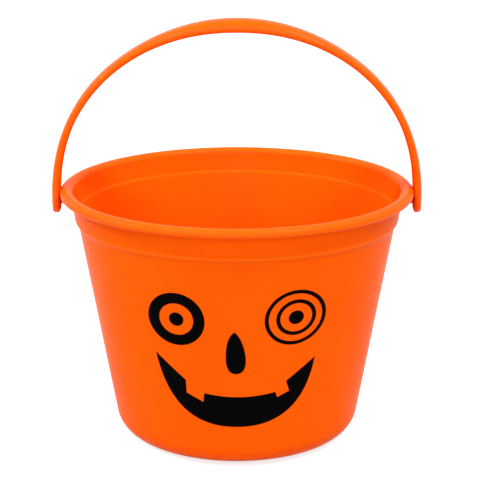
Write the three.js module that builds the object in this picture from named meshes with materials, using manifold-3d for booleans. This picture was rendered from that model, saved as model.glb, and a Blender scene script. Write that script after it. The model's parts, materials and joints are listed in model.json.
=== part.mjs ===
// A trick-or-treat pail: a moulded bucket, a strap handle that swings on two snap pins,
// and a printed lantern face.
// Lengths are in millimetres. +Z is up, the face looks along -Y, and the handle spans X.
// The origin is the middle of the foot, on the ground.

import * as THREE from "three";
import { mergeVertices } from "three/addons/utils/BufferGeometryUtils.js";
import Module from "manifold-3d";

// The bucket's wall is a cone. FOOT_LINE_RADIUS is where its outer face would meet the
// ground, and the rim's outside stands BEAD_OVERHANG beyond the collar that tops it.
const RIM_RADIUS = 110;
const RIM_TOP = 159;
const FOOT_LINE_RADIUS = 74.5;
const BEAD_OVERHANG = 6.15;
const WALL = 1.8;

// The bottom: a large outer round, and a base held off the ground by a foot ring.
const BOTTOM_ROUND = 16.5;
const FOOT_RING_WIDTH = 8.5;
const FOOT_RING_HEIGHT = 1.5;
const GATE_RADIUS = 2.2;
const GATE_HEIGHT = 0.8;

// The collar under the rim stands proud of the wall outside, and ends on a ledge inside.
const COLLAR_PROUD = 1.5;
const COLLAR_WALL = 2.1;
const COLLAR_HEIGHT = 19.8;
const COLLAR_SHOULDER = 4.6;
const LEDGE_DEPTH = 15.5;
const LEDGE_SLOPE = 0.9;

// The rolled rim: an oval bead, hollow underneath, that curls in to a lip.
const BEAD_CROWN = 3.4;
const BEAD_LIP_DEPTH = 5.5;
const BEAD_CURL = 2.4;
const BEAD_WALL = 1.6;
const LIP_THICKNESS = 1.2;

// The snap pins on the handle's ends, and the blind bosses under the rim that hold them.
const PIN_DEPTH = 7.5;
const PIN_RADIUS = 2.5;
const PIN_LENGTH = 6.3;
const PIN_BEAD = 0.5;
const PIN_BEAD_LENGTH = 1.6;
const PIN_NOSE = 0.5;
const PIN_CLEARANCE = 0.3;
const BOSS_WALL = 1.4;
const BOSS_INSET = 0.5;

// The strap handle: its inner face is an arch, and the strap swells into a cored grip.
const HANDLE_CLEARANCE = 0.35;
const ARCH_RISE = 103.6;
const ARCH_FULLNESS = 2.12;
const STRAP_WIDTH = 18;
const STRAP_THICKNESS = 5;
const STRAP_EDGE = 2;
const STRAP_SQUARENESS = 2.4;
const EYE_RADIUS = 10.3;
const EYE_BLEND = 22;
const GRIP_THICKNESS = 8;
const GRIP_START = 0.55;
const CORE_SKIN = 2.6;
const CORE_SIDE = 2.6;
const CORE_CELLS = 9;
const CORE_REACH = 62;
const CORE_RIB = 1.4;
const CORE_DRAFT = 0.08;

// The print is a film of ink just off the wall. Its marks are laid out in front view,
// from a point on the middle of the nose.
const PRINT_GAP = 0.1;
const PRINT_FILM = 0.15;
const FACE_HEIGHT = 78.5;
const LEFT_EYE = { x: -35.5, z: 20.1, stretch: 1.018, tiltDegrees: 125 };
const LEFT_RING = { outer: 16.85, inner: 10.1 };
const LEFT_PUPIL = 4.35;
const RIGHT_EYE = { x: 35, z: 21.4, stretch: 1.032, tiltDegrees: 32 };
const RIGHT_OUTER_RING = { outer: 17.95, inner: 15.6 };
const RIGHT_INNER_RING = { outer: 11.7, inner: 9.3 };
const RIGHT_PUPIL = 4.45;
const OUTER_RING_SHIFT = -0.4;

// The nose, by its tip, sides and foot, and how far the curves reach straight from each.
const NOSE = {
  tip: { x: -1.4, z: 13.8 },
  left: { x: -6.45, z: -2.5, up: 5.5, down: 7.5 },
  foot: { x: -0.5, z: -13.8, reach: 4.1 },
  right: { x: 5.45, z: -5, up: 6.5, down: 5.5 },
  tipLeft: { x: -5.6, z: 11.1 },
  tipRight: { x: 2.4, z: 11.6 },
};

// The mouth, by its corners, its lowest point and the four corners of each tooth.
const MOUTH = {
  left: { x: -48.2, z: -3.8 },
  leftBend: { x: -40.9, z: -40 },
  foot: { x: 0, z: -49.8, reach: 23.5 },
  rightBend: { x: 41.2, z: -40 },
  right: { x: 46.6, z: -6.8 },
  rightTooth: [
    { x: 29.4, z: -20.3 }, { x: 31.3, z: -27.3 }, { x: 24.1, z: -30.8 }, { x: 23.1, z: -27 },
  ],
  gumDip: { x: 1.5, z: -31.5 },
  leftTooth: [
    { x: -19.4, z: -27.5 }, { x: -19.9, z: -33.5 }, { x: -29.9, z: -28.3 }, { x: -30.3, z: -19.8 },
  ],
};

// Steps round a full turn of the bucket, round a pin, and along the strap.
const TURN_STEPS = 72;
const PIN_STEPS = 24;
const STRAP_STEPS = 44;

const wasm = await Module();
wasm.setup();

const BEAD_Z = RIM_TOP - BEAD_CROWN;
const WALL_TOP_RADIUS = RIM_RADIUS - BEAD_OVERHANG - COLLAR_PROUD;
const FLARE = (WALL_TOP_RADIUS - FOOT_LINE_RADIUS) / BEAD_Z;
const FLARE_ANGLE = Math.atan(FLARE);
const AXIS_Z = RIM_TOP - PIN_DEPTH;
const STRAP_INNER_X = RIM_RADIUS + HANDLE_CLEARANCE;
const PIN_TIP_X = STRAP_INNER_X - PIN_LENGTH;

// The radius of the wall's outer face, of its inner face, and of the collar's two faces.
const wallOuter = (z) => FOOT_LINE_RADIUS + FLARE * z;
const wallInner = (z) => wallOuter(z) - WALL / Math.cos(FLARE_ANGLE);
const collarOuter = (z) => wallOuter(z) + COLLAR_PROUD;
const collarInner = (z) => collarOuter(z) - COLLAR_WALL;

// A closed mesh as a solid that can be joined and cut.
function solid(geometry) {
  const bare = geometry.clone();
  bare.deleteAttribute("normal");
  bare.deleteAttribute("uv");
  const merged = mergeVertices(bare, 1e-4);
  return new wasm.Manifold(
    new wasm.Mesh({
      numProp: 3,
      vertProperties: new Float32Array(merged.attributes.position.array),
      triVerts: new Uint32Array(merged.index.array),
    }),
  );
}

// A solid as a mesh geometry again.
function geometryOf(body) {
  const mesh = body.getMesh();
  const geometry = new THREE.BufferGeometry();
  geometry.setAttribute("position", new THREE.BufferAttribute(mesh.vertProperties, 3));
  geometry.setIndex(new THREE.BufferAttribute(mesh.triVerts, 1));
  geometry.computeVertexNormals();
  return geometry;
}

// A profile of (radius, height) points turned round the Z axis.
function turned(profile) {
  return solid(new THREE.LatheGeometry(profile, TURN_STEPS).rotateX(Math.PI / 2));
}

// Points on an arc of an ellipse in the profile's plane, from one angle to another.
function arc(r, z, radiusR, radiusZ, from, to, steps) {
  return Array.from({ length: steps + 1 }, (_, i) => {
    const angle = from + ((to - from) * i) / steps;
    return new THREE.Vector2(r + radiusR * Math.cos(angle), z + radiusZ * Math.sin(angle));
  });
}

// A round bar on the pin axis, from one distance to another along X on the given side.
function bar(side, radius, from, to) {
  const geometry = new THREE.CylinderGeometry(radius, radius, to - from, PIN_STEPS);
  geometry.rotateZ(Math.PI / 2);
  geometry.translate((side * (from + to)) / 2, 0, AXIS_Z);
  return solid(geometry);
}

// The bucket's profile, from the middle of the base outwards, over the rim and back inside.
function bucketProfile() {
  const point = (r, z) => new THREE.Vector2(r, z);
  const floorTop = FOOT_RING_HEIGHT + WALL;

  const roundR = wallOuter(BOTTOM_ROUND) - BOTTOM_ROUND / Math.cos(FLARE_ANGLE);
  const ringInner = roundR - FOOT_RING_WIDTH;
  const base = [
    point(0, FOOT_RING_HEIGHT - GATE_HEIGHT),
    point(GATE_RADIUS, FOOT_RING_HEIGHT - GATE_HEIGHT),
    point(GATE_RADIUS, FOOT_RING_HEIGHT),
    point(ringInner - FOOT_RING_HEIGHT, FOOT_RING_HEIGHT),
    point(ringInner, 0),
  ];
  const bottom = arc(
    roundR, BOTTOM_ROUND, BOTTOM_ROUND, BOTTOM_ROUND, -Math.PI / 2, -FLARE_ANGLE, 8,
  );

  const collarZ = RIM_TOP - COLLAR_HEIGHT;
  const shoulderZ = collarZ - COLLAR_SHOULDER;
  const shoulder = new THREE.CubicBezierCurve(
    point(wallOuter(shoulderZ), shoulderZ),
    point(wallOuter(shoulderZ + COLLAR_SHOULDER / 2), shoulderZ + COLLAR_SHOULDER / 2),
    point(collarOuter(collarZ - COLLAR_SHOULDER / 3), collarZ - COLLAR_SHOULDER / 3),
    point(collarOuter(collarZ), collarZ),
  ).getPoints(5);

  const hollowInner = collarOuter(BEAD_Z);
  const hollowHalf = (RIM_RADIUS - BEAD_WALL - hollowInner) / 2;
  const hollow = arc(
    hollowInner + hollowHalf, BEAD_Z, hollowHalf, BEAD_CROWN - BEAD_WALL, Math.PI, 0, 6,
  );

  const lipR = RIM_RADIUS - BEAD_CURL;
  const lipZ = RIM_TOP - BEAD_LIP_DEPTH;
  const lipRound = LIP_THICKNESS / 2;
  const lip = arc(
    lipR, lipZ + lipRound, lipRound, lipRound, Math.PI / 2, (Math.PI * 3) / 2, 4,
  ).slice(0, -1);
  const curl = arc(lipR, BEAD_Z, BEAD_CURL, BEAD_Z - lipZ, -Math.PI / 2, 0, 4);

  const beadInner = collarInner(BEAD_Z);
  const beadHalf = (RIM_RADIUS - beadInner) / 2;
  const crown = arc(beadInner + beadHalf, BEAD_Z, beadHalf, BEAD_CROWN, 0, Math.PI, 12).slice(1);

  const ledgeZ = RIM_TOP - LEDGE_DEPTH;
  const ledge = [
    point(collarInner(ledgeZ + LEDGE_SLOPE), ledgeZ + LEDGE_SLOPE),
    point(wallInner(ledgeZ), ledgeZ),
  ];
  const innerRound = BOTTOM_ROUND - WALL;
  const innerR = wallInner(floorTop + innerRound) - innerRound / Math.cos(FLARE_ANGLE);
  const inside = arc(
    innerR, floorTop + innerRound, innerRound, innerRound, -FLARE_ANGLE, -Math.PI / 2, 7,
  );
  return [
    ...base, ...bottom, ...shoulder, ...hollow, ...lip, ...curl, ...crown, ...ledge, ...inside,
    point(0, floorTop),
  ];
}

// The bucket: the turned shell, with a blind boss for each pin hung under the rim.
function bucketBody() {
  const holeRadius = PIN_RADIUS + PIN_CLEARANCE;
  const holeEnd = PIN_TIP_X - PIN_CLEARANCE;
  const pocketRadius = holeRadius + PIN_BEAD;
  const pocketEnd = PIN_TIP_X + PIN_BEAD_LENGTH + PIN_CLEARANCE;
  const bossRadius = pocketRadius + BOSS_WALL;
  const bossRoot = collarOuter(AXIS_Z) - COLLAR_WALL / 2;
  let body = turned(bucketProfile());
  for (const side of [-1, 1]) {
    body = body
      .add(bar(side, bossRadius, bossRoot, RIM_RADIUS - BOSS_INSET))
      .subtract(bar(side, holeRadius, holeEnd, RIM_RADIUS + HANDLE_CLEARANCE))
      .subtract(bar(side, pocketRadius, holeEnd, pocketEnd));
  }
  return geometryOf(body);
}

// The handle is made about its pins: z = 0 is the axis that it swings on. This is the arch
// that the strap's inner face follows, in the plane y = 0, from the left pin over the top
// to the right pin.
class StrapArch extends THREE.Curve {
  getPoint(t, target = new THREE.Vector3()) {
    const angle = Math.PI * (1 - t);
    const power = 2 / ARCH_FULLNESS;
    const across = Math.sign(Math.cos(angle)) * Math.abs(Math.cos(angle)) ** power;
    const up = Math.max(Math.sin(angle), 0) ** power;
    return target.set(STRAP_INNER_X * across, 0, ARCH_RISE * up);
  }
}

const arch = new StrapArch();
const archLength = arch.getLength();

// Where the strap's inner face is, and which way is outwards, at a distance along it. A
// distance below zero or past the arch's length lies on the eye, straight below the pin.
function strapFrame(distance) {
  const onArch = THREE.MathUtils.clamp(distance, 0, archLength);
  const beyond = Math.abs(distance - onArch);
  if (onArch === 0 || onArch === archLength) {
    const side = onArch === 0 ? -1 : 1;
    return {
      foot: new THREE.Vector3(side * STRAP_INNER_X, 0, -beyond),
      outwards: new THREE.Vector3(side, 0, 0),
    };
  }
  const foot = arch.getPointAt(onArch / archLength);
  const along = arch.getTangentAt(onArch / archLength);
  return { foot, outwards: new THREE.Vector3(-along.z, 0, along.x) };
}

// The strap's thickness: even up the legs, then swelling smoothly into the grip.
function strapThickness(distance) {
  const toTop = 1 - Math.abs(distance / archLength - 0.5) * 2;
  const swell = THREE.MathUtils.smoothstep(toTop, GRIP_START, 1);
  return STRAP_THICKNESS + (GRIP_THICKNESS - STRAP_THICKNESS) * swell;
}

// Half the strap's width: a round eye about the pin that runs into the even strap.
function strapHalfWidth(distance) {
  const above = Math.min(distance, archLength - distance);
  if (above < 0) return Math.sqrt(Math.max(EYE_RADIUS ** 2 - above ** 2, 0));
  const narrowing = THREE.MathUtils.smoothstep(above, 0, EYE_BLEND);
  return THREE.MathUtils.lerp(EYE_RADIUS, STRAP_WIDTH / 2, narrowing);
}

// One section of the strap: flat inside, with rounded edges, and crowned outside. The same
// rounding thins both faces off at the very end of each eye.
function strapSection(distance) {
  const { foot, outwards } = strapFrame(distance);
  const thickness = strapThickness(distance);
  const half = strapHalfWidth(distance);
  const toEnd = EYE_RADIUS + Math.min(distance, archLength - distance);
  const short = Math.max(STRAP_EDGE - toEnd, 0);
  const thinned = STRAP_EDGE - Math.sqrt(STRAP_EDGE ** 2 - short ** 2);
  const left = 1 - (2 * thinned) / thickness;
  const place = (across, out) =>
    foot.clone().addScaledVector(outwards, thinned + out * left).setY(across);

  const edge = Math.min(STRAP_EDGE, half / 3);
  const edgeSteps = 3;
  const rounded = Array.from({ length: edgeSteps }, (_, i) => {
    const angle = (Math.PI * i) / (2 * edgeSteps);
    return { across: half - edge * (1 - Math.sin(angle)), out: edge * (1 - Math.cos(angle)) };
  });
  const ring = rounded.map(({ across, out }) => place(across, out));
  const crownSteps = 12;
  const power = 2 / STRAP_SQUARENESS;
  for (let i = 0; i <= crownSteps; i++) {
    const angle = (Math.PI * i) / crownSteps;
    const across = Math.sign(Math.cos(angle)) * Math.abs(Math.cos(angle)) ** power;
    const out = Math.abs(Math.sin(angle)) ** power;
    ring.push(place(half * across, edge + (thickness - edge) * out));
  }
  ring.push(...rounded.reverse().map(({ across, out }) => place(-across, out)));
  return ring;
}

// A closed solid through rings of points, each with as many points as the next.
function loft(rings) {
  const count = rings[0].length;
  const positions = rings.flat().flatMap((p) => [p.x, p.y, p.z]);
  const index = [];
  for (let i = 0; i + 1 < rings.length; i++) {
    for (let j = 0; j < count; j++) {
      const a = i * count + j;
      const b = i * count + ((j + 1) % count);
      index.push(a, b, a + count, b, b + count, a + count);
    }
  }
  const last = (rings.length - 1) * count;
  for (let j = 1; j + 1 < count; j++) {
    index.push(0, j + 1, j);
    index.push(last, last + j, last + j + 1);
  }
  const geometry = new THREE.BufferGeometry();
  geometry.setAttribute("position", new THREE.Float32BufferAttribute(positions, 3));
  geometry.setIndex(index);
  return solid(geometry);
}

// The distances of the strap's sections: close together round each eye, even on the arch.
function strapStations() {
  const eyeSteps = 7;
  const firstStep = 0.35;
  const eye = Array.from({ length: eyeSteps }, (_, i) => {
    const angle = (Math.PI / 2) * (1 - (i + firstStep) / (eyeSteps + firstStep));
    return -EYE_RADIUS * Math.sin(angle);
  });
  const onArch = Array.from({ length: STRAP_STEPS + 1 }, (_, i) => (archLength * i) / STRAP_STEPS);
  return [...eye, ...onArch, ...eye.map((d) => archLength - d).reverse()];
}

// One cell of the core under the grip, between two distances along the strap.
function coreCell(from, to) {
  const rings = [from, (from + to) / 2, to].map((distance) => {
    const { foot, outwards } = strapFrame(distance);
    const half = strapHalfWidth(distance) - CORE_SIDE;
    const depth = strapThickness(distance) - CORE_SKIN;
    const draft = depth * CORE_DRAFT;
    const place = (across, out) =>
      foot.clone().addScaledVector(outwards, out).setY(across);
    return [
      place(half, -CORE_SKIN),
      place(half - draft, depth),
      place(draft - half, depth),
      place(-half, -CORE_SKIN),
    ];
  });
  return loft(rings);
}

// A snap pin: a round shaft inwards from the strap, with a bead behind a tapered nose.
function snapPin(side) {
  const root = PIN_LENGTH + STRAP_THICKNESS / 2;
  const profile = [
    new THREE.Vector2(0, 0),
    new THREE.Vector2(PIN_RADIUS - PIN_NOSE, 0),
    new THREE.Vector2(PIN_RADIUS + PIN_BEAD, PIN_BEAD_LENGTH / 2),
    new THREE.Vector2(PIN_RADIUS + PIN_BEAD, PIN_BEAD_LENGTH - PIN_BEAD),
    new THREE.Vector2(PIN_RADIUS, PIN_BEAD_LENGTH),
    new THREE.Vector2(PIN_RADIUS, root),
    new THREE.Vector2(0, root),
  ];
  const geometry = new THREE.LatheGeometry(profile, PIN_STEPS);
  geometry.rotateZ((-side * Math.PI) / 2);
  geometry.translate(side * PIN_TIP_X, 0, 0);
  return solid(geometry);
}

// The handle: the strap, its core, and a snap pin on the inside of each eye.
function handleBody() {
  let body = loft(strapStations().map(strapSection));
  const pitch = (2 * CORE_REACH) / CORE_CELLS;
  for (let cell = 0; cell < CORE_CELLS; cell++) {
    const start = archLength / 2 - CORE_REACH + cell * pitch;
    body = body.subtract(coreCell(start + CORE_RIB / 2, start + pitch - CORE_RIB / 2));
  }
  return geometryOf(body.add(snapPin(-1)).add(snapPin(1)));
}

// The sheet of ink that every mark is cut from: a thin cone just off the wall, from the
// bottom round up to the collar's shoulder.
function inkSheet() {
  const near = (z) => wallOuter(z) + PRINT_GAP;
  const far = (z) => near(z) + PRINT_FILM;
  const low = BOTTOM_ROUND;
  const high = RIM_TOP - COLLAR_HEIGHT - COLLAR_SHOULDER;
  return turned([
    new THREE.Vector2(near(low), low),
    new THREE.Vector2(far(low), low),
    new THREE.Vector2(far(high), high),
    new THREE.Vector2(near(high), high),
    new THREE.Vector2(near(low), low),
  ]);
}

// One mark: a flat outline in front view, pressed through the sheet of ink.
function mark(outline) {
  const cutter = new THREE.ExtrudeGeometry(outline, {
    depth: RIM_RADIUS,
    bevelEnabled: false,
    curveSegments: 10,
  });
  cutter.rotateX(Math.PI / 2).translate(0, 0, FACE_HEIGHT);
  return geometryOf(sheet.intersect(solid(cutter)));
}

// An oval about an eye's centre. Both eyes are a little longer along their tilt than across.
function oval(eye, radius) {
  const tilt = THREE.MathUtils.degToRad(eye.tiltDegrees);
  const curve = new THREE.EllipseCurve(
    eye.x, eye.z, radius * eye.stretch, radius / eye.stretch, 0, 2 * Math.PI, false, tilt,
  );
  return curve.getPoints(40).slice(1);
}

// A pupil is a whole oval, and a ring is an oval with an oval hole.
const pupil = (eye, radius) => new THREE.Shape(oval(eye, radius));

function ring(eye, radii) {
  const outline = new THREE.Shape(oval(eye, radii.outer));
  outline.holes.push(new THREE.Path(oval(eye, radii.inner)));
  return outline;
}

// The nose: a tall drop, pointed at the top and leaning a little to one side.
function nose() {
  const { tip, left, foot, right, tipLeft, tipRight } = NOSE;
  const outline = new THREE.Shape();
  outline.moveTo(tip.x, tip.z);
  outline.bezierCurveTo(tipLeft.x, tipLeft.z, left.x, left.z + left.up, left.x, left.z);
  outline.bezierCurveTo(
    left.x, left.z - left.down, foot.x - foot.reach, foot.z, foot.x, foot.z,
  );
  outline.bezierCurveTo(
    foot.x + foot.reach, foot.z, right.x, right.z - right.down, right.x, right.z,
  );
  outline.bezierCurveTo(right.x, right.z + right.up, tipRight.x, tipRight.z, tip.x, tip.z);
  return outline;
}

// The grin: a deep curve from corner to corner, with a straight-sided tooth hanging on
// each side of a shallow gum line.
function mouth() {
  const { left, leftBend, foot, rightBend, right, rightTooth, gumDip, leftTooth } = MOUTH;
  const gumEnd = leftTooth[0];
  const outline = new THREE.Shape();
  outline.moveTo(left.x, left.z);
  outline.bezierCurveTo(leftBend.x, leftBend.z, foot.x - foot.reach, foot.z, foot.x, foot.z);
  outline.bezierCurveTo(
    foot.x + foot.reach, foot.z, rightBend.x, rightBend.z, right.x, right.z,
  );
  rightTooth.forEach(({ x, z }) => outline.lineTo(x, z));
  outline.quadraticCurveTo(gumDip.x, gumDip.z, gumEnd.x, gumEnd.z);
  leftTooth.slice(1).forEach(({ x, z }) => outline.lineTo(x, z));
  return outline;
}

// Each piece is a named mesh with a finish of its own.
function piece(name, geometry, finish) {
  const mesh = new THREE.Mesh(geometry, new THREE.MeshStandardMaterial(finish));
  mesh.name = name;
  return mesh;
}

const ORANGE = { color: 0xfd5c01, roughness: 0.32, metalness: 0 };
const INK = { color: 0x050505, roughness: 0.55, metalness: 0 };

const pail = new THREE.Group();
pail.add(piece("bucket_body", bucketBody(), ORANGE));

const swing = new THREE.Group();
swing.position.z = AXIS_Z;
swing.add(piece("handle", handleBody(), ORANGE));
pail.add(swing);

const sheet = inkSheet();
const outerEye = { ...RIGHT_EYE, x: RIGHT_EYE.x + OUTER_RING_SHIFT };
pail.add(piece("left_eye_ring", mark(ring(LEFT_EYE, LEFT_RING)), INK));
pail.add(piece("left_eye_pupil", mark(pupil(LEFT_EYE, LEFT_PUPIL)), INK));
pail.add(piece("right_eye_outer_ring", mark(ring(outerEye, RIGHT_OUTER_RING)), INK));
pail.add(piece("right_eye_inner_ring", mark(ring(RIGHT_EYE, RIGHT_INNER_RING)), INK));
pail.add(piece("right_eye_pupil", mark(pupil(RIGHT_EYE, RIGHT_PUPIL)), INK));
pail.add(piece("nose", mark(nose()), INK));
pail.add(piece("mouth", mark(mouth()), INK));

export default pail;
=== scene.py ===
"""The looks of a trick-or-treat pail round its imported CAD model: a glossy moulded bucket,
a strap handle that swings on two snap pins, and a printed lantern face. It stands on a
white table in soft studio light. Lengths are in metres, in the CAD model's own frame."""

import json
import math

import bmesh
import bpy
import numpy as np
from mathutils import Matrix, Vector
from mathutils.geometry import delaunay_2d_cdt


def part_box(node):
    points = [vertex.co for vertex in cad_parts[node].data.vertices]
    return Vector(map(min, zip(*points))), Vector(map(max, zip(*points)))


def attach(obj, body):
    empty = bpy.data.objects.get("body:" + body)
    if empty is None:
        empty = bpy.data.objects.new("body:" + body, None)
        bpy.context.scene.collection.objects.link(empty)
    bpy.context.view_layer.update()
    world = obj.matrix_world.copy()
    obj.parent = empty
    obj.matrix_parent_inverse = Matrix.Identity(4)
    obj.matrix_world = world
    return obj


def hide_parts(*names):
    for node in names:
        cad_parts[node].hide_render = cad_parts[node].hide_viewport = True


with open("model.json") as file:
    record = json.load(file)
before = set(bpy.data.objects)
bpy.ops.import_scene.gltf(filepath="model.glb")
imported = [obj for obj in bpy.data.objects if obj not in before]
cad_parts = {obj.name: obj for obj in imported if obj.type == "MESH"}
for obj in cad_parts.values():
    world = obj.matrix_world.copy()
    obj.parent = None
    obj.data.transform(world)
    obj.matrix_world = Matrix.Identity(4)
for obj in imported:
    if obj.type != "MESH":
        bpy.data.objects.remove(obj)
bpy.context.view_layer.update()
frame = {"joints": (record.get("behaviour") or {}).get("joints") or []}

MM = 0.001

# The overall sizes come from the CAD model.
rim_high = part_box("bucket_body")[1]
handle_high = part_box("handle")[1]
RIM_RADIUS = rim_high.x
RIM_TOP = rim_high.z
AXIS_Z = frame["joints"][0]["pos_m"][2]

# The bucket's wall is a cone between a foot line on the ground and the rolled rim.
FOOT_LINE_RADIUS = 74.5 * MM
BEAD_OVERHANG = 6.15 * MM
WALL = 1.8 * MM
BOTTOM_ROUND = 16.5 * MM
FOOT_RING_WIDTH = 8.5 * MM
FOOT_RING_HEIGHT = 1.5 * MM
GATE_RADIUS = 2.2 * MM
GATE_HEIGHT = 0.8 * MM
GATE_FLAT = 0.9 * GATE_RADIUS
GATE_BEVEL = 0.25 * GATE_HEIGHT
EASE = 0.45 * MM

# The collar under the rim stands proud outside, with a fine crest above its shoulder, and has
# a ledge inside. A paler band along the crest's foot is a painted highlight for the light the
# crest catches: all of it within the first distance, and fading out to the second.
COLLAR_PROUD = 1.5 * MM
COLLAR_WALL = 2.1 * MM
COLLAR_HEIGHT = 19.8 * MM
COLLAR_SHOULDER = 4.6 * MM
CREST_HEIGHT = 1.6 * MM
CREST_PROUD = 0.15 * MM
PAINTED_HIGHLIGHT_WITHIN = 0.35 * MM
PAINTED_HIGHLIGHT_UP_TO = 1.1 * MM
LEDGE_DEPTH = 15.5 * MM
LEDGE_SLOPE = 0.9 * MM

# The rolled rim is an oval bead, hollow underneath, that curls in to a lip.
BEAD_CROWN = 3.4 * MM
BEAD_LIP_DEPTH = 5.5 * MM
BEAD_CURL = 2.4 * MM
BEAD_WALL = 1.6 * MM
LIP_THICKNESS = 1.2 * MM

# The snap pins on the handle, and the blind bosses that hold them.
PIN_RADIUS = 2.5 * MM
PIN_LENGTH = 6.3 * MM
PIN_BEAD = 0.5 * MM
PIN_BEAD_LENGTH = 1.6 * MM
PIN_NOSE = 0.5 * MM
PIN_CLEARANCE = 0.3 * MM
BOSS_WALL = 1.4 * MM
BOSS_INSET = 0.5 * MM

# The strap handle: flat inside, crowned outside, round at the pins, thick at the grip.
ARCH_FULLNESS = 2.12
STRAP_WIDTH = 18 * MM
STRAP_THICKNESS = 5 * MM
STRAP_EDGE = 2 * MM
STRAP_SQUARENESS = 2.4
EYE_RADIUS = 10.3 * MM
EYE_BLEND = 22 * MM
GRIP_THICKNESS = 8 * MM
GRIP_START = 0.55
CORE_SKIN = 2.6 * MM
CORE_SIDE = 2.6 * MM
CORE_CELLS = 9
CORE_REACH = 62 * MM
CORE_RIB = 1.4 * MM
CORE_DRAFT = 0.08
STRAP_INNER_X = handle_high.x - STRAP_THICKNESS
ARCH_RISE = handle_high.z - AXIS_Z - GRIP_THICKNESS

# The print, laid out in front view from a point on the middle of the nose. Each eye is
# (x, z, stretch, tilt in degrees) and each ring (outer radius, inner radius).
FACE_HEIGHT = 78.5 * MM
LEFT_EYE = (-35.5 * MM, 20.1 * MM, 1.018, 125)
LEFT_RING = (16.85 * MM, 10.1 * MM)
LEFT_PUPIL = 4.35 * MM
RIGHT_EYE = (35 * MM, 21.4 * MM, 1.032, 32)
RIGHT_OUTER_RING = (17.95 * MM, 15.6 * MM)
RIGHT_INNER_RING = (11.7 * MM, 9.3 * MM)
RIGHT_PUPIL = 4.45 * MM
OUTER_RING_SHIFT = -0.4 * MM
INK_PROUD = 0.05 * MM
INK_ROOT = 0.02 * MM
INK_MESH = 1.6 * MM

# The nose in millimetres: its tip, sides and foot, and where the curves between them head.
NOSE_TIP = (-1.4, 13.8)
NOSE_LEFT = (-6.45, -2.5)
NOSE_FOOT = (-0.5, -13.8)
NOSE_RIGHT = (5.45, -5)
NOSE_TIP_HEADINGS = ((-5.6, 11.1), (2.4, 11.6))
NOSE_LEFT_REACH = (5.5, 7.5)
NOSE_RIGHT_REACH = (6.5, 5.5)
NOSE_FOOT_REACH = 4.1

# The mouth in millimetres: its corners, its lowest point, and the corners of each tooth.
MOUTH_LEFT = (-48.2, -3.8)
MOUTH_RIGHT = (46.6, -6.8)
MOUTH_FOOT = (0, -49.8)
MOUTH_FOOT_REACH = 23.5
MOUTH_BENDS = ((-40.9, -40), (41.2, -40))
RIGHT_TOOTH = ((29.4, -20.3), (31.3, -27.3), (24.1, -30.8), (23.1, -27))
LEFT_TOOTH = ((-19.4, -27.5), (-19.9, -33.5), (-29.9, -28.3), (-30.3, -19.8))
GUM_DIP = (1.5, -31.5)

# Steps round the bucket and up its profile, from the base to the rim and down the inside.
TURN_STEPS = 288
EASE_STEPS = 5
BOTTOM_STEPS = 28
WALL_STEPS = 11
SHOULDER_STEPS = 14
CREST_STEPS = 12
HOLLOW_STEPS = 14
LIP_STEPS = 10
CURL_STEPS = 12
CROWN_STEPS = 40
INSIDE_STEPS = 26

# Steps round a pin, along the strap and its arch, round its section, and along a core cell.
PIN_STEPS = 64
ARCH_STEPS = 4000
STRAP_STEPS = 240
EYE_STEPS = 28
EDGE_STEPS = 10
STRAP_CROWN_STEPS = 40
CELL_STEPS = 6

# How far to each side of a point the strap's direction there is taken from.
TANGENT_REACH = 0.3 * MM

# Steps round the outlines of the print.
OVAL_STEPS = 180
NOSE_STEPS = 24
GRIN_STEPS = 70
GUM_STEPS = 40

# Edges stay sharp above this angle.
SHARP_DEGREES = 32

# The print's mesh joins points this close together, and has triangles inside its outline only.
JOIN_DISTANCE = 1e-7
TRIANGLES_INSIDE = 1

# Finishes: the colours are linear, and a gloss is the shader's Specular IOR Level.
ORANGE_BRIGHT = (0.96, 0.104, 0.001)
ORANGE_DEEP = (0.95, 0.098, 0.0009)
# The colour of the painted highlight along the foot of the collar's crest.
ORANGE_PAINTED_HIGHLIGHT = (0.96, 0.14, 0.003)
INK_DARK = (0.0008, 0.0008, 0.0008)
INK_LIGHT = (0.0016, 0.0015, 0.0015)
BUCKET_ROUGHNESS = 0.34
HANDLE_ROUGHNESS = 0.22
ROUGHNESS_GRAIN = 0.03
SCUFF_ROUGHNESS = 0.25
SCUFF_TOP = 2.5 * MM
PLASTIC_IOR = 1.1
RIM_GLOSS = 0.75
WALL_GLOSS = 0.25
HANDLE_GLOSS = 0.95
INK_IOR = 1.05
INK_ROUGHNESS = (0.45, 0.6)
GLOW = 0.25
GLOW_RADIUS = (1, 0.25, 0.1)
GLOW_REACH = 2 * MM

# The handle is matt where it looks in at the middle of its arch, which is -1 for straight at
# it, and has its whole gloss from the second value on.
INWARDS_MATT = -0.97
INWARDS_GLOSSY = -0.8

# The colour sockets of a Mix node, which it lists after those for numbers and vectors.
MIX_A = 6
MIX_B = 7
MIX_RESULT = 2

# Grain: the scale, detail and depth of each noise, and the part of its range that it fills.
FLOW_SCALE = 14
FLOW_DETAIL = 3
FLOW_DEPTH = 0.12 * MM
GRAIN_SCALE = 650
GRAIN_DETAIL = 3
GRAIN_DEPTH = 0.006 * MM
HANDLE_GRAIN_DEPTH = 0.001 * MM
INK_GRAIN_SCALE = 2200
INK_GRAIN_DETAIL = 2
INK_GRAIN_DEPTH = 0.006 * MM
NOISE_LOW = 0.3
NOISE_HIGH = 0.7

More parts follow.
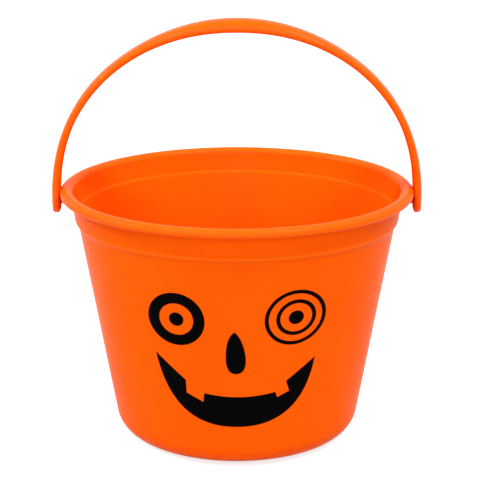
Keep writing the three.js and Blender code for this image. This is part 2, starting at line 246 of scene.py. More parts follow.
# The studio: a white table just under the foot, an even sky, and soft lamps, each as
# (place, size, watts).
TABLE_HALF = 12
TABLE_Z = -0.05 * MM
TABLE_GREY = (0.46, 0.46, 0.46)
TABLE_PALE = (0.48, 0.48, 0.48)
TABLE_MOTTLE_SCALE = 3
TABLE_MOTTLE_DETAIL = 2
TABLE_ROUGHNESS = 0.9
TABLE_LIFT = 0.7
SKY_STRENGTH = 0.48
OBJECT_MIDDLE = (0, 0, 0.12)
SOFTBOXES = {
    "key": ((-1.8, -1.75, 3.9), 1.0, 74),
    "fill": ((1.9, -1.5, 4.0), 1.0, 115),
    "front": ((0, -4.4, 1.9), 2.8, 92),
    "left_glint": ((-2.96, 0, 2.2), 0.3, 55),
    "right_glint": ((2.6, 0.3, 2.5), 0.6, 19),
}

# The camera that took the photograph, from a fit of its outline and of the printed face.
PHOTO_PIXELS = 480
SENSOR_WIDTH = 36
FOCAL_PIXELS = 1746.1
CAMERA_PLACE = (0.00196, -1.0585, 0.4201)
CAMERA_PITCH = 15.683
CLIP_NEAR = 0.05
CLIP_FAR = 60

BEAD_Z = RIM_TOP - BEAD_CROWN
COLLAR_Z = RIM_TOP - COLLAR_HEIGHT
FLARE = (RIM_RADIUS - BEAD_OVERHANG - COLLAR_PROUD - FOOT_LINE_RADIUS) / BEAD_Z
FLARE_ANGLE = math.atan(FLARE)
PIN_TIP_X = STRAP_INNER_X - PIN_LENGTH


def wall_outer(z):
    return FOOT_LINE_RADIUS + FLARE * z


def wall_inner(z):
    return wall_outer(z) - WALL / math.cos(FLARE_ANGLE)


def collar_outer(z):
    return wall_outer(z) + COLLAR_PROUD


def collar_inner(z):
    return collar_outer(z) - COLLAR_WALL


def smoothstep(x, low, high):
    t = min(max((x - low) / (high - low), 0), 1)
    return t * t * (3 - 2 * t)


# Meshes


def new_object(name, mesh):
    piece = bpy.data.objects.new(name, mesh)
    bpy.context.scene.collection.objects.link(piece)
    return piece


def mesh_of(name, vertices, faces):
    """A mesh whose faces all look outwards."""
    mesh = bpy.data.meshes.new(name)
    mesh.from_pydata([tuple(v) for v in vertices], [], faces)
    shape = bmesh.new()
    shape.from_mesh(mesh)
    bmesh.ops.recalc_face_normals(shape, faces=shape.faces)
    shape.to_mesh(mesh)
    shape.free()
    return mesh


def lathe(name, profile, steps):
    """A profile of (radius, height) points turned round Z. Its two ends are on the axis."""
    angles = np.linspace(0, 2 * math.pi, steps, endpoint=False)
    vertices = [(0, 0, profile[0][1])]
    for r, z in profile[1:-1]:
        vertices += [(r * math.cos(a), r * math.sin(a), z) for a in angles]
    vertices.append((0, 0, profile[-1][1]))
    last = len(vertices) - 1
    rings = len(profile) - 2
    faces = []
    for j in range(steps):
        k = (j + 1) % steps
        faces.append((0, 1 + k, 1 + j))
        for i in range(rings - 1):
            low = 1 + i * steps
            faces.append((low + j, low + k, low + steps + k, low + steps + j))
        top = 1 + (rings - 1) * steps
        faces.append((top + j, top + k, last))
    return mesh_of(name, vertices, faces)


def loft(name, rings):
    """A closed solid through rings of points, each with as many points as the next."""
    count = len(rings[0])
    vertices = [p for ring in rings for p in ring]
    faces = []
    for i in range(len(rings) - 1):
        for j in range(count):
            a = i * count + j
            b = i * count + (j + 1) % count
            faces.append((a, b, b + count, a + count))
    last = len(vertices) - count
    faces.append(tuple(range(count)))
    faces.append(tuple(last + j for j in range(count)))
    return mesh_of(name, vertices, faces)


def arc(r, z, radius_r, radius_z, start, end, steps):
    """Points on an arc of an ellipse in a profile's plane, from one angle to another."""
    angles = np.linspace(start, end, steps + 1)
    return [(r + radius_r * math.cos(a), z + radius_z * math.sin(a)) for a in angles]


def bezier(points, steps):
    """Points on a Bezier curve of any order, its two ends included."""
    order = len(points) - 1
    curve = []
    for t in np.linspace(0, 1, steps + 1):
        weights = [
            math.comb(order, i) * t**i * (1 - t) ** (order - i) for i in range(order + 1)
        ]
        curve.append(tuple(sum(w * p[k] for w, p in zip(weights, points)) for k in (0, 1)))
    return curve


def eased(before, corner, after, radius):
    """A corner of a profile, rounded off between the points before and after it."""
    middle = Vector(corner)
    start = middle + (Vector(before) - middle).normalized() * radius
    end = middle + (Vector(after) - middle).normalized() * radius
    return bezier([tuple(start), tuple(corner), tuple(end)], EASE_STEPS)


def combine(piece, other, operation):
    """Joins another object to the piece, or cuts it out, and removes it."""
    modifier = piece.modifiers.new("combine", "BOOLEAN")
    modifier.operation = operation
    modifier.solver = "EXACT"
    modifier.object = other
    bpy.context.view_layer.update()
    graph = bpy.context.evaluated_depsgraph_get()
    made = bpy.data.meshes.new_from_object(piece.evaluated_get(graph))
    piece.modifiers.clear()
    piece.data = made
    bpy.data.objects.remove(other)


def smooth(piece):
    """Smooth shading, with edges left sharp where the faces turn by more than the angle."""
    piece.data.shade_smooth()
    piece.data.set_sharp_from_angle(angle=math.radians(SHARP_DEGREES))


# The bucket


def bucket_profile():
    """From the middle of the base outwards, over the rim and back to the middle of the floor."""
    floor_top = FOOT_RING_HEIGHT + WALL
    round_r = wall_outer(BOTTOM_ROUND) - BOTTOM_ROUND / math.cos(FLARE_ANGLE)
    ring_inner = round_r - FOOT_RING_WIDTH
    gate_z = FOOT_RING_HEIGHT - GATE_HEIGHT
    step = (ring_inner - FOOT_RING_HEIGHT, FOOT_RING_HEIGHT)
    foot = (ring_inner, 0)
    base = [
        (0, gate_z),
        (GATE_FLAT, gate_z),
        (GATE_RADIUS, gate_z + GATE_BEVEL),
        (GATE_RADIUS, FOOT_RING_HEIGHT),
        *eased((0, FOOT_RING_HEIGHT), step, foot, EASE),
        *eased(step, foot, (round_r, 0), EASE),
    ]
    bottom = arc(
        round_r, BOTTOM_ROUND, BOTTOM_ROUND, BOTTOM_ROUND,
        -math.pi / 2, -FLARE_ANGLE, BOTTOM_STEPS,
    )

    shoulder_z = COLLAR_Z - COLLAR_SHOULDER
    shoulder_low = shoulder_z + COLLAR_SHOULDER / 2
    shoulder_high = COLLAR_Z - COLLAR_SHOULDER / 3
    wall_heights = np.linspace(BOTTOM_ROUND, shoulder_z, WALL_STEPS + 1)[1:-1]
    wall = [(wall_outer(z), z) for z in wall_heights]
    shoulder = bezier(
        [
            (wall_outer(shoulder_z), shoulder_z),
            (wall_outer(shoulder_low), shoulder_low),
            (collar_outer(shoulder_high), shoulder_high),
            (collar_outer(COLLAR_Z), COLLAR_Z),
        ],
        SHOULDER_STEPS,
    )
    crest = []
    for share in np.linspace(0, 1, CREST_STEPS + 1)[1:]:
        z = COLLAR_Z + share * CREST_HEIGHT
        crest.append((collar_outer(z) + CREST_PROUD * math.sin(math.pi * share) ** 2, z))

    hollow_inner = collar_outer(BEAD_Z)
    hollow_half = (RIM_RADIUS - BEAD_WALL - hollow_inner) / 2
    hollow = arc(
        hollow_inner + hollow_half, BEAD_Z, hollow_half, BEAD_CROWN - BEAD_WALL,
        math.pi, 0, HOLLOW_STEPS,
    )
    lip_r = RIM_RADIUS - BEAD_CURL
    lip_z = RIM_TOP - BEAD_LIP_DEPTH
    lip_round = LIP_THICKNESS / 2
    lip = arc(
        lip_r, lip_z + lip_round, lip_round, lip_round,
        math.pi / 2, math.pi * 1.5, LIP_STEPS,
    )
    curl = arc(lip_r, BEAD_Z, BEAD_CURL, BEAD_Z - lip_z, -math.pi / 2, 0, CURL_STEPS)

    bead_inner = collar_inner(BEAD_Z)
    bead_half = (RIM_RADIUS - bead_inner) / 2
    crown = arc(
        bead_inner + bead_half, BEAD_Z, bead_half, BEAD_CROWN, 0, math.pi, CROWN_STEPS
    )

    ledge_z = RIM_TOP - LEDGE_DEPTH
    ledge_top = (collar_inner(ledge_z + LEDGE_SLOPE), ledge_z + LEDGE_SLOPE)
    ledge_foot = (wall_inner(ledge_z), ledge_z)
    ledge = [
        *eased((bead_inner, BEAD_Z), ledge_top, ledge_foot, EASE),
        *eased(ledge_top, ledge_foot, (wall_inner(0), 0), EASE),
    ]
    inner_round = BOTTOM_ROUND - WALL
    inner_z = floor_top + inner_round
    inner_r = wall_inner(inner_z) - inner_round / math.cos(FLARE_ANGLE)
    inner_heights = np.linspace(ledge_z, inner_z, WALL_STEPS + 1)[1:-1]
    inner_wall = [(wall_inner(z), z) for z in inner_heights]
    inside = arc(
        inner_r, inner_z, inner_round, inner_round,
        -FLARE_ANGLE, -math.pi / 2, INSIDE_STEPS,
    )
    return [
        *base, *bottom, *wall, *shoulder, *crest, *hollow, *lip, *curl[1:], *crown[1:],
        *ledge, *inner_wall, *inside, (0, floor_top),
    ]


def bar(side, profile, turn):
    """A round bar along the pin axis on the given side, from a profile of (radius, distance)
    points, turned about itself by an angle."""
    piece = new_object("bar", lathe("bar", profile, PIN_STEPS))
    piece.data.transform(Matrix.Rotation(turn, 4, "Z"))
    lay_on_axis(piece.data, side)
    return piece


def lay_on_axis(mesh, side):
    """Lays a shape that was turned round Z along the pin axis, on the given side."""
    for v in mesh.vertices:
        x, y, z = v.co
        v.co = (side * z, y, AXIS_Z - side * x)


def make_bucket():
    hole_radius = PIN_RADIUS + PIN_CLEARANCE
    hole_end = PIN_TIP_X - PIN_CLEARANCE
    pocket_radius = hole_radius + PIN_BEAD
    pocket_end = PIN_TIP_X + PIN_BEAD_LENGTH + PIN_CLEARANCE
    boss_radius = pocket_radius + BOSS_WALL
    boss_root = collar_outer(AXIS_Z) - COLLAR_WALL / 2
    boss_end = RIM_RADIUS - BOSS_INSET
    outside = RIM_RADIUS + WALL
    boss = [(0, boss_root), (boss_radius, boss_root), (boss_radius, boss_end), (0, boss_end)]
    hole = [
        (0, hole_end),
        (pocket_radius, hole_end),
        (pocket_radius, pocket_end),
        (hole_radius, pocket_end),
        (hole_radius, outside),
        (0, outside),
    ]
    bucket = new_object("bucket", lathe("bucket", bucket_profile(), TURN_STEPS))
    # Their facets are turned off each other's and off the bucket's, so that no edges coincide.
    quarter_step = math.pi / PIN_STEPS / 2
    for side in (-1, 1):
        combine(bucket, bar(side, boss, quarter_step), "UNION")
        combine(bucket, bar(side, hole, -quarter_step), "DIFFERENCE")
    smooth(bucket)
    return bucket


# The handle


def arch_curve():
    """The arch that the strap's inner face follows: distances along it, with x and height."""
    angles = np.linspace(math.pi, 0, ARCH_STEPS + 1)
    power = 2 / ARCH_FULLNESS
    x = STRAP_INNER_X * np.sign(np.cos(angles)) * np.abs(np.cos(angles)) ** power
    z = ARCH_RISE * np.clip(np.sin(angles), 0, None) ** power
    distance = np.concatenate([[0], np.cumsum(np.hypot(np.diff(x), np.diff(z)))])
    return distance, x, z


ARCH = arch_curve()
ARCH_LENGTH = ARCH[0][-1]


def strap_frame(distance):
    """Where the strap's inner face is, and which way is outwards, at a distance along it."""
    if distance <= 0 or distance >= ARCH_LENGTH:
        side = -1 if distance <= 0 else 1
        beyond = -distance if distance <= 0 else distance - ARCH_LENGTH
        return Vector((side * STRAP_INNER_X, 0, AXIS_Z - beyond)), Vector((side, 0, 0))
    near = [distance - TANGENT_REACH, distance, distance + TANGENT_REACH]
    near = np.clip(near, 0, ARCH_LENGTH)
    x, z = (np.interp(near, ARCH[0], ARCH[k]) for k in (1, 2))
    along = Vector((x[2] - x[0], 0, z[2] - z[0])).normalized()
    return Vector((x[1], 0, AXIS_Z + z[1])), Vector((-along.z, 0, along.x))


def strap_thickness(distance):
    """The strap's thickness, which swells towards the grip at the top."""
    to_top = 1 - abs(distance / ARCH_LENGTH - 0.5) * 2
    swelling = smoothstep(to_top, GRIP_START, 1)
    return STRAP_THICKNESS + (GRIP_THICKNESS - STRAP_THICKNESS) * swelling


def strap_half_width(distance):
    """Half the strap's width: a round eye about the pin that runs into the even strap."""
    above = min(distance, ARCH_LENGTH - distance)
    if above < 0:
        return math.sqrt(max(EYE_RADIUS**2 - above**2, 0))
    narrowing = smoothstep(above, 0, EYE_BLEND)
    return EYE_RADIUS + (STRAP_WIDTH / 2 - EYE_RADIUS) * narrowing


def strap_section(distance):
    """A section that is flat inside, crowned outside and rounded at its edges. The same
    rounding thins both faces off at the very end of each eye."""
    foot, outwards = strap_frame(distance)
    thickness = strap_thickness(distance)
    half = strap_half_width(distance)
    to_end = EYE_RADIUS + min(distance, ARCH_LENGTH - distance)
    short = max(STRAP_EDGE - to_end, 0)
    thinned = STRAP_EDGE - math.sqrt(STRAP_EDGE**2 - short**2)
    remaining = 1 - 2 * thinned / thickness

    def place(across, out):
        return tuple(foot + outwards * (thinned + out * remaining) + Vector((0, across, 0)))

    edge = min(STRAP_EDGE, half / 3)
    angles = np.linspace(0, math.pi / 2, EDGE_STEPS, endpoint=False)
    rounded = [(half - edge * (1 - math.sin(a)), edge * (1 - math.cos(a))) for a in angles]
    ring = [place(across, out) for across, out in rounded]
    power = 2 / STRAP_SQUARENESS
    for angle in np.linspace(0, math.pi, STRAP_CROWN_STEPS + 1):
        across = math.copysign(abs(math.cos(angle)) ** power, math.cos(angle))
        out = max(math.sin(angle), 0) ** power
        ring.append(place(half * across, edge + (thickness - edge) * out))
    ring += [place(-across, out) for across, out in reversed(rounded)]
    return ring


def strap_stations():
    """The distances of the strap's sections: close together round each eye."""
    angles = np.linspace(math.pi / 2, 0, EYE_STEPS, endpoint=False)
    eye = [-EYE_RADIUS * math.sin(a) for a in angles[1:]]
    on_arch = list(np.linspace(0, ARCH_LENGTH, STRAP_STEPS + 1))
    return eye + on_arch + [ARCH_LENGTH - d for d in reversed(eye)]


def core_cell(start, end):
    """One cell of the core under the grip, between two distances along the strap."""
    rings = []
    for distance in np.linspace(start, end, CELL_STEPS + 1):
        foot, outwards = strap_frame(distance)
        half = strap_half_width(distance) - CORE_SIDE
        depth = strap_thickness(distance) - CORE_SKIN
        draft = depth * CORE_DRAFT
        right, left = (half, -CORE_SKIN), (-half, -CORE_SKIN)
        corners = (right, (half - draft, depth), (draft - half, depth), left)
        rings.append([tuple(foot + outwards * o + Vector((0, a, 0))) for a, o in corners])
    return new_object("cell", loft("cell", rings))


def snap_pin(side):
    """A round shaft inwards from the strap, with a bead behind a tapered nose."""
    root = PIN_LENGTH + STRAP_THICKNESS / 2
    bead = PIN_RADIUS + PIN_BEAD
    bead_low, bead_high = (bead, PIN_BEAD_LENGTH / 2), (bead, PIN_BEAD_LENGTH)
    profile = [
        (0, 0),
        *eased((0, 0), (PIN_RADIUS - PIN_NOSE, 0), bead_low, PIN_NOSE / 2),
        *eased((PIN_RADIUS, 0), bead_low, bead_high, PIN_BEAD / 2),
        (bead, PIN_BEAD_LENGTH - PIN_BEAD),
        (PIN_RADIUS, PIN_BEAD_LENGTH),
        (PIN_RADIUS, root),
        (0, root),
    ]
    pin = new_object("pin", lathe("pin", profile, PIN_STEPS))
    pin.data.transform(Matrix.Translation((0, 0, PIN_TIP_X)))
    lay_on_axis(pin.data, side)
    return pin


def make_handle():
    sections = [strap_section(distance) for distance in strap_stations()]
    handle = new_object("strap_handle", loft("strap", sections))
    pitch = 2 * CORE_REACH / CORE_CELLS
    for cell in range(CORE_CELLS):
        start = ARCH_LENGTH / 2 - CORE_REACH + cell * pitch
        room = core_cell(start + CORE_RIB / 2, start + pitch - CORE_RIB / 2)
        combine(handle, room, "DIFFERENCE")
    for side in (-1, 1):
        combine(handle, snap_pin(side), "UNION")
    smooth(handle)
    return handle


# The printed face


def oval(eye, radius):
    """An oval about an eye's centre, a little longer along its tilt than across it."""
    x, z, stretch, tilt = eye
    cos_tilt, sin_tilt = math.cos(math.radians(tilt)), math.sin(math.radians(tilt))
    points = []
    for a in np.linspace(0, 2 * math.pi, OVAL_STEPS, endpoint=False):
        u = radius * stretch * math.cos(a)
        v = radius / stretch * math.sin(a)
        points.append((x + u * cos_tilt - v * sin_tilt, z + u * sin_tilt + v * cos_tilt))
    return points


def straight(corners):
    """A line through corners, with points close enough together to follow the round wall."""
    points = [corners[0]]
    for start, end in zip(corners, corners[1:]):
        steps = max(1, round(math.dist(start, end) / INK_MESH))
        points += bezier([start, end], steps)[1:]
    return points


def in_metres(points):
    return [(x * MM, z * MM) for x, z in points]


def nose_outline():
    """A tall drop, pointed at the top and leaning a little to one side."""
    left_x, left_z = NOSE_LEFT
    right_x, right_z = NOSE_RIGHT
    foot_x, foot_z = NOSE_FOOT
    tip_left, tip_right = NOSE_TIP_HEADINGS
    left_up = (left_x, left_z + NOSE_LEFT_REACH[0])
    left_down = (left_x, left_z - NOSE_LEFT_REACH[1])
    right_up = (right_x, right_z + NOSE_RIGHT_REACH[0])
    right_down = (right_x, right_z - NOSE_RIGHT_REACH[1])
    foot_left = (foot_x - NOSE_FOOT_REACH, foot_z)
    foot_right = (foot_x + NOSE_FOOT_REACH, foot_z)
    curves = [
        bezier([NOSE_TIP, tip_left, left_up, NOSE_LEFT], NOSE_STEPS),
        bezier([NOSE_LEFT, left_down, foot_left, NOSE_FOOT], NOSE_STEPS),
        bezier([NOSE_FOOT, foot_right, right_down, NOSE_RIGHT], NOSE_STEPS),
        bezier([NOSE_RIGHT, right_up, tip_right, NOSE_TIP], NOSE_STEPS),
    ]
    return in_metres([point for curve in curves for point in curve[:-1]])


def mouth_outline():
    """A deep curve from corner to corner, with a straight-sided tooth on each side of the gum."""
    foot_x, foot_z = MOUTH_FOOT
    left_bend, right_bend = MOUTH_BENDS
    foot_left = (foot_x - MOUTH_FOOT_REACH, foot_z)
    foot_right = (foot_x + MOUTH_FOOT_REACH, foot_z)
    grin = [
        *bezier([MOUTH_LEFT, left_bend, foot_left, MOUTH_FOOT], GRIN_STEPS),
        *bezier([MOUTH_FOOT, foot_right, right_bend, MOUTH_RIGHT], GRIN_STEPS)[1:],
    ]
    gum = bezier([RIGHT_TOOTH[-1], GUM_DIP, LEFT_TOOTH[0]], GUM_STEPS)
    right_tooth = straight(in_metres([MOUTH_RIGHT, *RIGHT_TOOTH]))
    left_tooth = straight(in_metres([*LEFT_TOOTH, MOUTH_LEFT]))
    return in_metres(grin)[:-1] + right_tooth[:-1] + in_metres(gum)[:-1] + left_tooth[:-1]


def inside_loop(points, loop):
    """For each of the points, whether it lies inside the closed loop."""
    p = np.asarray(points)[:, None, :]
    a = np.asarray(loop)[None, :, :]
    b = np.roll(a, -1, axis=1)
    crosses = (a[..., 1] > p[..., 1]) != (b[..., 1] > p[..., 1])
    rise = np.where(crosses, b[..., 1] - a[..., 1], 1)
    at = a[..., 0] + (p[..., 1] - a[..., 1]) / rise * (b[..., 0] - a[..., 0])
    return (crosses & (p[..., 0] < at)).sum(axis=1) % 2 == 1


def ink_mark(name, loops):
    """A film of ink on the wall, from its outline in front view and the loops of any holes."""
    corners = [p for loop in loops for p in loop]
    edges = []
    for loop in loops:
        start = len(edges)
        edges += [(start + i, start + (i + 1) % len(loop)) for i in range(len(loop))]
    low, high = np.min(corners, axis=0), np.max(corners, axis=0)
    row_height = INK_MESH * math.sqrt(3) / 2
    lattice = [
        (x + (row % 2) * INK_MESH / 2, z)
        for row, z in enumerate(np.arange(low[1], high[1], row_height))
        for x in np.arange(low[0], high[0], INK_MESH)
    ]
    lattice = np.array(lattice)
    to_edge = np.hypot(*(lattice[:, None, :] - np.array(corners)[None]).transpose(2, 0, 1))
    within = sum(inside_loop(lattice, loop) for loop in loops) % 2 == 1
    filling = lattice[within & (to_edge.min(axis=1) > INK_MESH / 3)]
    flat = [Vector(p) for p in corners] + [Vector(p) for p in filling]
    points, _, triangles, *_ = delaunay_2d_cdt(flat, edges, [], TRIANGLES_INSIDE, JOIN_DISTANCE)
    points = np.array([tuple(p) for p in points])
    middles = np.array([points[list(t)].mean(axis=0) for t in triangles])
    in_ink = sum(inside_loop(middles, loop) for loop in loops) % 2 == 1
    triangles = [t for t, kept in zip(triangles, in_ink) if kept]

    def on_wall(proud):
        z = points[:, 1] + FACE_HEIGHT
        radius = wall_outer(z) + proud
        return [(x, -math.sqrt(r * r - x * x), h) for (x, _), r, h in zip(points, radius, z)]

    count = len(points)
    faces = [tuple(t) for t in triangles]
    faces += [tuple(i + count for i in reversed(t)) for t in triangles]
    sides = {(t[i], t[(i + 1) % 3]) for t in triangles for i in range(3)}
    faces += [(a, b, b + count, a + count) for a, b in sides if (b, a) not in sides]
    film = new_object(name, mesh_of(name, on_wall(INK_PROUD) + on_wall(-INK_ROOT), faces))
    smooth(film)
    return film


# Finishes


class Finish:
    """A material's node tree, with short calls for the nodes that the finishes share."""

    def __init__(self, name):
        self.material = bpy.data.materials.new(name)
        self.material.use_nodes = True
        self.nodes = self.material.node_tree.nodes
        self.links = self.material.node_tree.links
        self.shader = self.nodes["Principled BSDF"]
        coordinates = self.nodes.new("ShaderNodeTexCoord")
        self.place = coordinates.outputs["Object"]
        self.normal = coordinates.outputs["Normal"]
        split = self.nodes.new("ShaderNodeSeparateXYZ")
        self.links.new(self.place, split.inputs["Vector"])
        self.height = split.outputs["Z"]
        across = self.math("MULTIPLY", split.outputs["X"], split.outputs["X"])
        deep = self.math("MULTIPLY", split.outputs["Y"], split.outputs["Y"])
        self.radius = self.math("SQRT", self.math("ADD", across, deep))

    def add(self, kind, **settings):
        node = self.nodes.new(kind)
        for key, value in settings.items():
            setattr(node, key, value)
        return node

    def noise(self, scale, detail):
        node = self.add("ShaderNodeTexNoise")
        node.inputs["Scale"].default_value = scale
        node.inputs["Detail"].default_value = detail
        self.links.new(self.place, node.inputs["Vector"])
        return node.outputs["Fac"]

    def ramp(self, value, low, high, to_low, to_high):
        node = self.add("ShaderNodeMapRange")
        node.inputs["From Min"].default_value = low
        node.inputs["From Max"].default_value = high
        node.inputs["To Min"].default_value = to_low
        node.inputs["To Max"].default_value = to_high
        self.links.new(value, node.inputs["Value"])
        return node.outputs["Result"]

    def spread(self, noise, to_low, to_high):
        """The middle of a noise's range, where most of its values are, as another range."""
        return self.ramp(noise, NOISE_LOW, NOISE_HIGH, to_low, to_high)

    def math(self, operation, *values):
        node = self.add("ShaderNodeMath", operation=operation)
        for socket, value in zip(node.inputs, values):
            if isinstance(value, (int, float)):
                socket.default_value = value
            else:
                self.links.new(value, socket)
        return node.outputs["Value"]

    def mix(self, share, a, b):
        node = self.add("ShaderNodeMix", data_type="RGBA")
        self.links.new(share, node.inputs["Factor"])
        for socket, colour in ((node.inputs[MIX_A], a), (node.inputs[MIX_B], b)):
            if isinstance(colour, tuple):
                socket.default_value = (*colour, 1)
            else:
                self.links.new(colour, socket)
        return node.outputs[MIX_RESULT]

    def bump(self, height, distance, below=None):
        node = self.add("ShaderNodeBump")
        node.inputs["Distance"].default_value = distance
        self.links.new(height, node.inputs["Height"])
        if below is not None:
            self.links.new(below, node.inputs["Normal"])
        return node.outputs["Normal"]

    def facing(self, point):
        """Which way the surface looks: -1 straight at the point, 1 straight away from it."""
        away = self.add("ShaderNodeVectorMath", operation="SUBTRACT")
        away.inputs[1].default_value = point
        self.links.new(self.place, away.inputs[0])
        unit = self.add("ShaderNodeVectorMath", operation="NORMALIZE")
        self.links.new(away.outputs["Vector"], unit.inputs[0])
        turned = self.add("ShaderNodeVectorMath", operation="DOT_PRODUCT")
        self.links.new(unit.outputs["Vector"], turned.inputs[0])
        self.links.new(self.normal, turned.inputs[1])
        return turned.outputs["Value"]

    def feed(self, socket, value):
        self.links.new(value, self.shader.inputs[socket])

    def set(self, socket, number):
        self.shader.inputs[socket].default_value = number


def orange_plastic(name, roughness, grain_depth):
    """Moulded polypropylene: an even deep orange with faint flow marks and a fine grain. A paler
    band along the foot of the collar's crest is a painted highlight, and it is scuffed rough
    near the ground."""
    finish = Finish(name)
    flow = finish.noise(FLOW_SCALE, FLOW_DETAIL)
    orange = finish.mix(finish.spread(flow, 0, 1), ORANGE_DEEP, ORANGE_BRIGHT)
    # Painted highlight: a paler band along the foot of the collar's crest, on the outside only.
    from_crest = finish.math("ABSOLUTE", finish.math("SUBTRACT", finish.height, COLLAR_Z))
    at_crest = finish.ramp(from_crest, PAINTED_HIGHLIGHT_WITHIN, PAINTED_HIGHLIGHT_UP_TO, 1, 0)
    outside = finish.ramp(finish.radius, wall_inner(COLLAR_Z), wall_outer(COLLAR_Z), 0, 1)
    painted_highlight = finish.math("MULTIPLY", at_crest, outside)
    finish.feed("Base Color", finish.mix(painted_highlight, orange, ORANGE_PAINTED_HIGHLIGHT))
    grain = finish.noise(GRAIN_SCALE, GRAIN_DETAIL)
    rough = finish.spread(grain, roughness - ROUGHNESS_GRAIN, roughness + ROUGHNESS_GRAIN)
    scuff = finish.ramp(finish.height, 0, SCUFF_TOP, SCUFF_ROUGHNESS, 0)
    finish.feed("Roughness", finish.math("ADD", rough, scuff))
    waves = finish.bump(flow, FLOW_DEPTH)
    finish.feed("Normal", finish.bump(grain, grain_depth, below=waves))
    finish.set("IOR", PLASTIC_IOR)
    finish.set("Subsurface Weight", GLOW)
    finish.set("Subsurface Radius", GLOW_RADIUS)
    finish.set("Subsurface Scale", GLOW_REACH)
    return finish


def bucket_plastic():
    """The plastic, glossier on the rolled rim than on the walls below and within it."""
    finish = orange_plastic("bucket_orange", BUCKET_ROUGHNESS, GRAIN_DEPTH)
    below = finish.ramp(finish.height, RIM_TOP - BEAD_LIP_DEPTH, BEAD_Z, 1, 0)
    within = finish.ramp(finish.radius, collar_outer(BEAD_Z), RIM_RADIUS - BEAD_CURL, 1, 0)
    on_wall = finish.math("MULTIPLY", below, within)
    finish.feed("Specular IOR Level", finish.ramp(on_wall, 0, 1, RIM_GLOSS, WALL_GLOSS))
    return finish


def handle_plastic():
    """The plastic, smoother and glossier, but matt where the strap faces in under its arch."""
    finish = orange_plastic("handle_orange", HANDLE_ROUGHNESS, HANDLE_GRAIN_DEPTH)
    looks = finish.facing((0, 0, AXIS_Z))
    gloss = finish.ramp(looks, INWARDS_MATT, INWARDS_GLOSSY, 0, HANDLE_GLOSS)
    finish.feed("Specular IOR Level", gloss)
    return finish


def black_ink(name):
    """Opaque screen-printed ink: near black and satin, with the faint grain of the mesh."""
    finish = Finish(name)
    grain = finish.noise(INK_GRAIN_SCALE, INK_GRAIN_DETAIL)
    finish.feed("Base Color", finish.mix(finish.spread(grain, 0, 1), INK_DARK, INK_LIGHT))
    finish.feed("Roughness", finish.spread(grain, *INK_ROUGHNESS))
    finish.feed("Normal", finish.bump(grain, INK_GRAIN_DEPTH))
    finish.set("IOR", INK_IOR)
    return finish.material


def seen_directly(nodes, links):
    """1 for what the camera sees, straight, in a gloss or through glass, and 0 for the rest."""
    path = nodes.new("ShaderNodeLightPath")
    total = path.outputs["Is Camera Ray"]
    for ray in ("Is Glossy Ray", "Is Transmission Ray"):
        node = nodes.new("ShaderNodeMath")
        node.operation = "MAXIMUM"
        links.new(total, node.inputs[0])
        links.new(path.outputs[ray], node.inputs[1])
        total = node.outputs["Value"]
    return total


def table_white():
    """A matt white table whose lit parts show as plain white and which keeps soft shadows."""
    finish = Finish("table_white")
    mottle = finish.noise(TABLE_MOTTLE_SCALE, TABLE_MOTTLE_DETAIL)
    finish.feed("Base Color", finish.mix(mottle, TABLE_GREY, TABLE_PALE))
    finish.set("Roughness", TABLE_ROUGHNESS)
    finish.set("Specular IOR Level", 0)
    finish.set("Emission Color", (1, 1, 1, 1))
    lift = finish.math("MULTIPLY", seen_directly(finish.nodes, finish.links), TABLE_LIFT)
    finish.feed("Emission Strength", lift)
    return finish.material


# The studio


def make_table():
    around = ((-1, -1), (1, -1), (1, 1), (-1, 1))
    corners = [(x * TABLE_HALF, y * TABLE_HALF, TABLE_Z) for x, y in around]
    mesh = bpy.data.meshes.new("table")
    mesh.from_pydata(corners, [], [(0, 1, 2, 3)])
    table = new_object("table", mesh)
    table.data.materials.append(table_white())


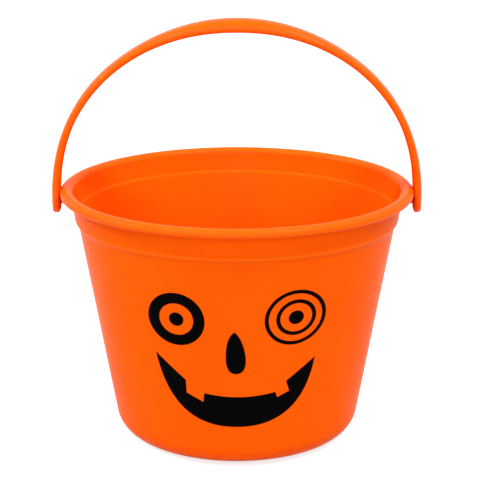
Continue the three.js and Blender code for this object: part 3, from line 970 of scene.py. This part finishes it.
def make_sky():
    """An even dome, which is plain white where it is seen."""
    world = bpy.data.worlds.new("studio")
    bpy.context.scene.world = world
    world.use_nodes = True
    nodes, links = world.node_tree.nodes, world.node_tree.links
    shown = nodes.new("ShaderNodeMapRange")
    shown.inputs["To Min"].default_value = SKY_STRENGTH
    shown.inputs["To Max"].default_value = 1
    links.new(seen_directly(nodes, links), shown.inputs["Value"])
    links.new(shown.outputs["Result"], nodes["Background"].inputs["Strength"])
    nodes["Background"].inputs["Color"].default_value = (1, 1, 1, 1)


def make_softbox(name, place, size, watts):
    lamp = bpy.data.lights.new(name, "AREA")
    lamp.shape = "DISK"
    lamp.size = size
    lamp.energy = watts
    box = new_object(name, lamp)
    box.location = place
    aim = Vector(OBJECT_MIDDLE) - box.location
    box.rotation_euler = aim.to_track_quat("-Z", "Y").to_euler()


def make_camera():
    data = bpy.data.cameras.new("camera")
    data.sensor_width = SENSOR_WIDTH
    data.lens = FOCAL_PIXELS / PHOTO_PIXELS * SENSOR_WIDTH
    data.clip_start = CLIP_NEAR
    data.clip_end = CLIP_FAR
    camera = new_object("camera", data)
    camera.location = CAMERA_PLACE
    camera.rotation_euler = (math.radians(90 - CAMERA_PITCH), 0, 0)
    bpy.context.scene.camera = camera


make_camera()
make_table()
make_sky()
for name, (place, size, watts) in SOFTBOXES.items():
    make_softbox(name, place, size, watts)

bucket = make_bucket()
bucket.data.materials.append(bucket_plastic().material)
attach(bucket, "bucket")
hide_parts("bucket_body")

handle = make_handle()
handle.data.materials.append(handle_plastic().material)
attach(handle, "bail")
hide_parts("handle")

x, z, stretch, tilt = RIGHT_EYE
outer_eye = (x + OUTER_RING_SHIFT, z, stretch, tilt)
ink = black_ink("black_ink")
marks = {
    "left_eye_ring": [oval(LEFT_EYE, radius) for radius in LEFT_RING],
    "left_eye_pupil": [oval(LEFT_EYE, LEFT_PUPIL)],
    "right_eye_outer_ring": [oval(outer_eye, radius) for radius in RIGHT_OUTER_RING],
    "right_eye_inner_ring": [oval(RIGHT_EYE, radius) for radius in RIGHT_INNER_RING],
    "right_eye_pupil": [oval(RIGHT_EYE, RIGHT_PUPIL)],
    "nose": [nose_outline()],
    "mouth": [mouth_outline()],
}
for node, loops in marks.items():
    film = ink_mark("print_" + node, loops)
    film.data.materials.append(ink)
    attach(film, "bucket")
    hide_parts(node)

bpy.context.scene.view_settings.view_transform = "Standard"
